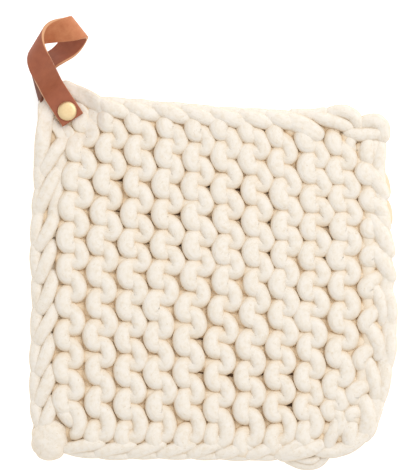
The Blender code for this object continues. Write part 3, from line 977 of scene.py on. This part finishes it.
leatherLook = {
    "smooth": ((0.30, (0.285, 0.075, 0.031)), (0.70, (0.345, 0.097, 0.041))),
    "suede": ((0.30, (0.44, 0.135, 0.048)), (0.70, (0.54, 0.205, 0.083))),
    "smoothShare": ((0.0, 0.0), (0.5, 0.0), (0.9, 1.0)),  # by the side of the leather
    "cutEdge": (0.60, 0.30, 0.15),
    "cutShare": ((0.955, 0.0), (0.985, 1.0)),  # by the way from the middle line to the edge
    # painted shade: the leg behind the mat, darkest of all
    "behind": (0.14, 0.035, 0.010),  # the leg behind the mat is darkest
    "legShadeShare": ((0.112, 0.0), (0.126, 1.0)),  # by the metres along the strip
    "mottleNoise": (220.0, 4.0, 0.6),
    "poreNoise": (1800.0, 4.0, 0.6),
    "poreBump": (0.0002, 0.5),
    "rough": 0.62,
}


def leatherMaterial():
    # grain side, suede side, raw cut edges and painted shade on the back leg, each over the one before
    look = leatherLook
    material, tree, shader = nodeMaterial("leather_strip")
    flat = meshValue(tree, "flat")["Vector"]
    grain = meshValue(tree, "grain")["Fac"]
    cut = meshValue(tree, "cut")["Fac"]
    split = tree.nodes.new("ShaderNodeSeparateXYZ")
    tree.links.new(flat, split.inputs["Vector"])
    mottle = noise(tree, flat, *look["mottleNoise"])
    pores = noise(tree, flat, *look["poreNoise"])
    smooth = ramp(tree, mottle, look["smooth"])
    suede = ramp(tree, mottle, look["suede"])
    colour = mixColour(tree, shareRamp(tree, grain, look["smoothShare"]), suede, smooth)
    colour = mixColour(tree, shareRamp(tree, cut, look["cutShare"]), colour, look["cutEdge"])
    # painted shade on the back leg, by the metres along the strip
    behind = shareRamp(tree, split.outputs["X"], look["legShadeShare"])
    colour = mixColour(tree, behind, colour, look["behind"])
    tree.links.new(colour, shader.inputs["Base Color"])
    shader.inputs["Roughness"].default_value = look["rough"]
    tree.links.new(bump(tree, pores, *look["poreBump"]), shader.inputs["Normal"])
    return material


brassLook = {
    "clouds": ((0.3, (0.78, 0.60, 0.34)), (0.7, (0.83, 0.66, 0.40))),
    "cloudNoise": (700.0, 3.0, 0.5),
    "rough": 0.55,
}


def brassMaterial():
    # brass with a satin finish, faintly clouded
    material, tree, shader = nodeMaterial("satin_brass")
    place = tree.nodes.new("ShaderNodeTexCoord").outputs["Object"]
    colour = ramp(tree, noise(tree, place, *brassLook["cloudNoise"]), brassLook["clouds"])
    tree.links.new(colour, shader.inputs["Base Color"])
    shader.inputs["Metallic"].default_value = 1.0
    shader.inputs["Roughness"].default_value = brassLook["rough"]
    return material


studio = {
    "table": ((0.3, (0.93, 0.93, 0.93)), (0.7, (0.95, 0.95, 0.95))),
    "tableNoise": (3.0, 3.0, 0.5),
    "tableRough": 0.9,
    "tableGlow": 0.45,
    "tableHalf": 3.0,  # half its width
    "tableDrop": 0.0002,  # below the mat
    "sky": 0.88,
    "window": (0.55, 0.65, 1.1),  # the one soft light: place, width, power
    "windowSize": 1.0,
    "windowPower": 9.0,
    "camera": (-0.0035, 0.0232, 1.5),
    "sensor": 24.0,
    "distance": 1.49,  # from the camera down to the knitting ...
    "seen": 0.25704,  # ... and what it sees there from top to bottom
}


def tableMaterial():
    # pale and plain, with a glow that keeps it white under the mat's shade
    material, tree, shader = nodeMaterial("pale_table")
    place = tree.nodes.new("ShaderNodeTexCoord").outputs["Object"]
    colour = ramp(tree, noise(tree, place, *studio["tableNoise"]), studio["table"])
    tree.links.new(colour, shader.inputs["Base Color"])
    shader.inputs["Roughness"].default_value = studio["tableRough"]
    shader.inputs["Emission Color"].default_value = (1.0, 1.0, 1.0, 1.0)
    shader.inputs["Emission Strength"].default_value = studio["tableGlow"]
    return material


def buildStage():
    # a square table top just under the mat
    half = studio["tableHalf"]
    corners = [(-half, -half, 0.0), (half, -half, 0.0), (half, half, 0.0), (-half, half, 0.0)]
    mesh = bpy.data.meshes.new("table_top")
    mesh.from_pydata(corners, [], [(0, 1, 2, 3)])
    mesh.materials.append(tableMaterial())
    floor = addObject("table_top", mesh)
    floor.location = (0.0, 0.0, -studio["tableDrop"])


def buildLights():
    # an even white sky, and one square soft light that looks at the middle of the mat
    world = bpy.data.worlds.new("studio")
    world.use_nodes = True
    background = world.node_tree.nodes["Background"]
    background.inputs["Color"].default_value = (1.0, 1.0, 1.0, 1.0)
    background.inputs["Strength"].default_value = studio["sky"]
    bpy.context.scene.world = world
    light = bpy.data.lights.new("window", 'AREA')
    light.size = studio["windowSize"]
    light.energy = studio["windowPower"]
    obj = addObject("window", light)
    x, y, z = studio["window"]
    obj.location = (x, y, z)
    obj.rotation_euler = (np.arctan2(np.hypot(x, y), z), 0.0, np.arctan2(x, -y))
    bpy.context.scene.view_settings.view_transform = 'Standard'


def buildCamera():
    # straight above: 0.54 mm to a pixel at the height of the knitting
    camera = bpy.data.cameras.new("from_above")
    camera.sensor_fit = 'VERTICAL'
    camera.sensor_height = studio["sensor"]
    camera.lens = studio["sensor"] * studio["distance"] / studio["seen"]
    camera.dof.use_dof = False
    obj = addObject("from_above", camera)
    obj.location = studio["camera"]
    bpy.context.scene.camera = obj


def main():
    cotton = cottonMaterial()
    leather = leatherMaterial()
    brass = brassMaterial()
    yarns = buildCourses(cotton)
    yarns += buildEdges(cotton)
    web = buildInside(cotton)
    for obj in yarns + [web]:
        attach(obj, "root")
        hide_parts("mat")
    leatherStrap = buildStrap(leather)
    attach(leatherStrap, "root")
    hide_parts("strap")
    for name, node in (("front", "rivet_front"), ("back", "rivet_back")):
        cap = turned("brass_cap_" + name, rivet[name], brass)
        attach(cap, "root")
        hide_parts(node)
    buildStage()
    buildLights()
    buildCamera()
    print("table, light and camera in place")


main()
